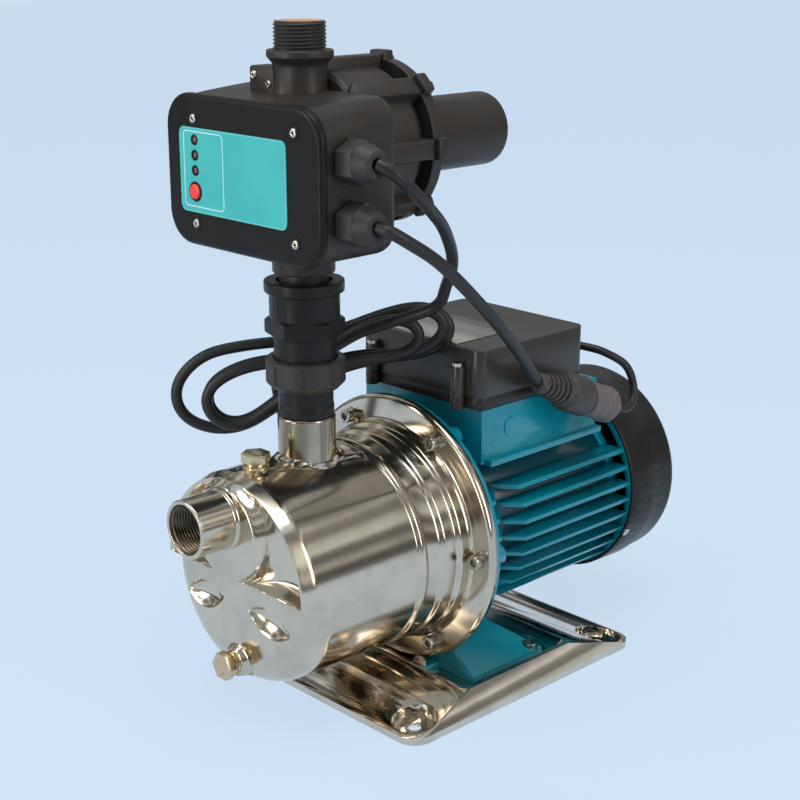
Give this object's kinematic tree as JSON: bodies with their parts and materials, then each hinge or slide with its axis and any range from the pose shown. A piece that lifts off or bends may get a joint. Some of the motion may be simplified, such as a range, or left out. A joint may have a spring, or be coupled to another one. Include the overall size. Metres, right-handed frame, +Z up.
{
  "type": "jet pump with pressure controller",
  "caption": "Stainless jet pump on a pressed base plate, with a teal finned motor, black fan cover and terminal box, and a pressure controller with cords standing on its outlet.",
  "frame": {"origin": "centre of the four foundation holes, on the floor under the base plate", "axes": "+Z up the water outlet; the pump shaft lies along Y, with the suction port towards -Y and the fan towards +Y; +X is the side with the cord glands"},
  "size_m": [0.228, 0.416, 0.4615],
  "materials": {
    "stainless": "polished, with fine drawing lines",
    "bright_steel": "plated",
    "teal_paint": "satin enamel on cast aluminium",
    "black_plastic": "satin moulded",
    "black_rubber": "matt",
    "brass": "turned",
    "copper": "bare copper",
    "ceramic": "ground ceramic",
    "label": "printed film",
    "silver_film": "brushed foil",
    "light_lens": "tinted lens, unlit",
    "button_red": "moulded",
    "board": "varnished board",
    "white_plastic": "moulded"
  },
  "bodies": {
    "pump": {"base_plate": "stainless", "foot_screws": "bright_steel", "motor_bracket": "teal_paint", "pump_casing": "stainless", "suction_port": "stainless", "discharge_port": "stainless", "o_rings": "black_rubber", "casing_back_plate": "stainless", "flange_bolts": "bright_steel", "flange_washers": "bright_steel", "ejector_body": "black_plastic", "jet_nozzle": "brass", "venturi_tube": "black_plastic", "diffuser": "black_plastic", "seal_seat": "ceramic", "priming_plug": "brass", "drain_plug": "brass", "plug_washers": "copper", "bearings": "bright_steel", "stator_core": "bright_steel", "stator_windings": "copper", "motor_housing": "teal_paint", "rear_end_shield": "teal_paint", "fan_cover": "black_plastic", "fan_cover_screws": "bright_steel", "terminal_box_base": "black_plastic", "terminal_box_gasket": "black_rubber", "terminal_box_lid": "black_plastic", "terminal_box_screws": "bright_steel", "box_gland": "black_plastic", "rating_plate": "silver_film", "capacitor": "white_plastic", "union_tail": "black_plastic", "union_nut": "black_plastic", "union_body": "black_plastic", "controller_body": "black_plastic", "front_cover": "black_plastic", "cover_screws": "bright_steel", "control_label": "label", "indicator_lights": "light_lens", "circuit_board": "board", "cable_glands": "black_plastic", "pressure_spring": "bright_steel", "rear_cap": "black_plastic", "rear_cap_screws": "bright_steel", "controller_lead": "black_rubber", "lead_connector": "black_rubber", "motor_lead": "black_rubber", "supply_cord": "black_rubber", "supply_coil": "black_rubber", "supply_plug": "black_rubber"},
    "rotor": {"motor_shaft": "bright_steel", "rotor_core": "bright_steel", "impeller": "brass", "impeller_nut": "brass", "seal_rotor": "black_rubber", "cooling_fan": "black_plastic"},
    "button": {"reset_button": "button_red"},
    "valve": {"check_valve": "brass"},
    "piston": {"pressure_piston": "brass"}
  },
  "joints": [
    {"name": "rotor_spin", "type": "hinge", "parent": "pump", "child": "rotor", "pos_m": [0, 0, 0.103], "axis": [0, 1, 0], "continuous": true},
    {"name": "reset_button_press", "type": "slide", "parent": "pump", "child": "button", "axis": [0, 1, 0], "range_m": [0, 0.0015], "stiffness_N_per_m": 600, "springref_m": -0.002},
    {"name": "check_valve_lift", "type": "slide", "parent": "pump", "child": "valve", "axis": [0, 0, 1], "range_m": [0, 0.006]},
    {"name": "pressure_piston_stroke", "type": "slide", "parent": "pump", "child": "piston", "axis": [0, 1, 0], "range_m": [0, 0.004], "stiffness_N_per_m": 8000, "springref_m": -0.002, "deforming": ["pressure_spring"]}
  ]
}
